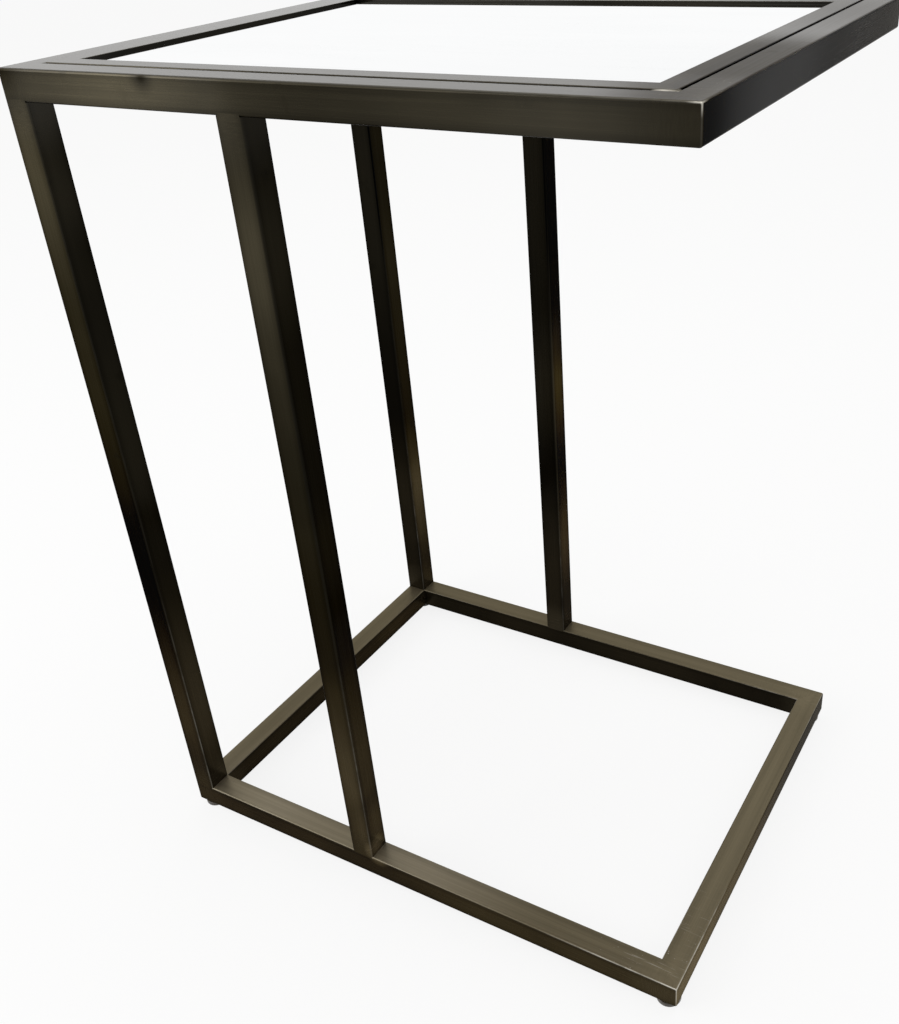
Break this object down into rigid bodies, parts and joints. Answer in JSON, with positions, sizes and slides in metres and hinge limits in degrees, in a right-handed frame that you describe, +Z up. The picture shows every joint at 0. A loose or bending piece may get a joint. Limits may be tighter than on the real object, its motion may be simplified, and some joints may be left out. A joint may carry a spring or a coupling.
{
  "type": "side table",
  "caption": "C-shaped side table of bronzed square tube with an inset mirror top that reaches over a seat, an open rectangular base and levelling feet.",
  "frame": {"origin": "on the floor, under the middle of the table's outline", "axes": "+X towards the open front, +Y to the right side seen from the front, +Z up"},
  "size_m": [0.464, 0.36, 0.6304],
  "materials": {
    "bronze_tube": "antique bronze plating, brushed lengthwise, worn bright on the edges",
    "ground_weld": "weld ground flush and toned to match",
    "ledge_steel": "satin dark paint",
    "mirror": "silvered float glass",
    "board": "raw hardboard",
    "cushion": "soft translucent dots",
    "glide": "smooth moulded",
    "plated_steel": "zinc plated"
  },
  "bodies": {
    "frame": {"left_top_rail": "bronze_tube", "left_base_rail": "bronze_tube", "left_inner_bar": "bronze_tube", "left_ledge": "ledge_steel", "right_top_rail": "bronze_tube", "right_base_rail": "bronze_tube", "right_inner_bar": "bronze_tube", "right_ledge": "ledge_steel", "front_top_rail": "bronze_tube", "front_base_rail": "bronze_tube", "front_inner_bar": "bronze_tube", "front_ledge": "ledge_steel", "back_top_rail": "bronze_tube", "back_base_rail": "bronze_tube", "back_inner_bar": "bronze_tube", "back_ledge": "ledge_steel", "left_back_upright": "bronze_tube", "left_middle_upright": "bronze_tube", "left_upright_welds": "ground_weld", "right_back_upright": "bronze_tube", "right_middle_upright": "bronze_tube", "right_upright_welds": "ground_weld", "corner_tack_weld": "ground_weld", "left_front_leveller_bush": "plated_steel", "left_back_leveller_bush": "plated_steel", "right_front_leveller_bush": "plated_steel", "right_back_leveller_bush": "plated_steel"},
    "panel": {"mirror_panel": "mirror", "backing_board": "board", "cushion_dots": "cushion"},
    "left_front_foot": {"left_front_leveller_foot": "glide"},
    "left_front_stem": {"left_front_leveller_stem": "plated_steel"},
    "left_back_foot": {"left_back_leveller_foot": "glide"},
    "left_back_stem": {"left_back_leveller_stem": "plated_steel"},
    "right_front_foot": {"right_front_leveller_foot": "glide"},
    "right_front_stem": {"right_front_leveller_stem": "plated_steel"},
    "right_back_foot": {"right_back_leveller_foot": "glide"},
    "right_back_stem": {"right_back_leveller_stem": "plated_steel"}
  },
  "joints": [
    {"name": "panel_lift", "type": "slide", "parent": "frame", "child": "panel", "axis": [0, 0, 1], "range_m": [0, 0.04]},
    {"name": "left_front_foot_travel", "type": "slide", "parent": "frame", "child": "left_front_foot", "axis": [0, 0, -1], "range_m": [0, 0.008]},
    {"name": "left_front_stem_turn", "type": "hinge", "parent": "left_front_foot", "child": "left_front_stem", "pos_m": [0.222, -0.17, 0.006], "axis": [0, 0, -1], "range_deg": [0, 2880]},
    {"name": "left_back_foot_travel", "type": "slide", "parent": "frame", "child": "left_back_foot", "axis": [0, 0, -1], "range_m": [0, 0.008]},
    {"name": "left_back_stem_turn", "type": "hinge", "parent": "left_back_foot", "child": "left_back_stem", "pos_m": [-0.222, -0.17, 0.006], "axis": [0, 0, -1], "range_deg": [0, 2880]},
    {"name": "right_front_foot_travel", "type": "slide", "parent": "frame", "child": "right_front_foot", "axis": [0, 0, -1], "range_m": [0, 0.008]},
    {"name": "right_front_stem_turn", "type": "hinge", "parent": "right_front_foot", "child": "right_front_stem", "pos_m": [0.222, 0.17, 0.006], "axis": [0, 0, -1], "range_deg": [0, 2880]},
    {"name": "right_back_foot_travel", "type": "slide", "parent": "frame", "child": "right_back_foot", "axis": [0, 0, -1], "range_m": [0, 0.008]},
    {"name": "right_back_stem_turn", "type": "hinge", "parent": "right_back_foot", "child": "right_back_stem", "pos_m": [-0.222, 0.17, 0.006], "axis": [0, 0, -1], "range_deg": [0, 2880]}
  ],
  "couplings": [
    {"joint": "left_front_stem_turn", "follows": "left_front_foot_travel", "rad_per_m": 6283.2},
    {"joint": "left_back_stem_turn", "follows": "left_back_foot_travel", "rad_per_m": 6283.2},
    {"joint": "right_front_stem_turn", "follows": "right_front_foot_travel", "rad_per_m": 6283.2},
    {"joint": "right_back_stem_turn", "follows": "right_back_foot_travel", "rad_per_m": 6283.2}
  ]
}
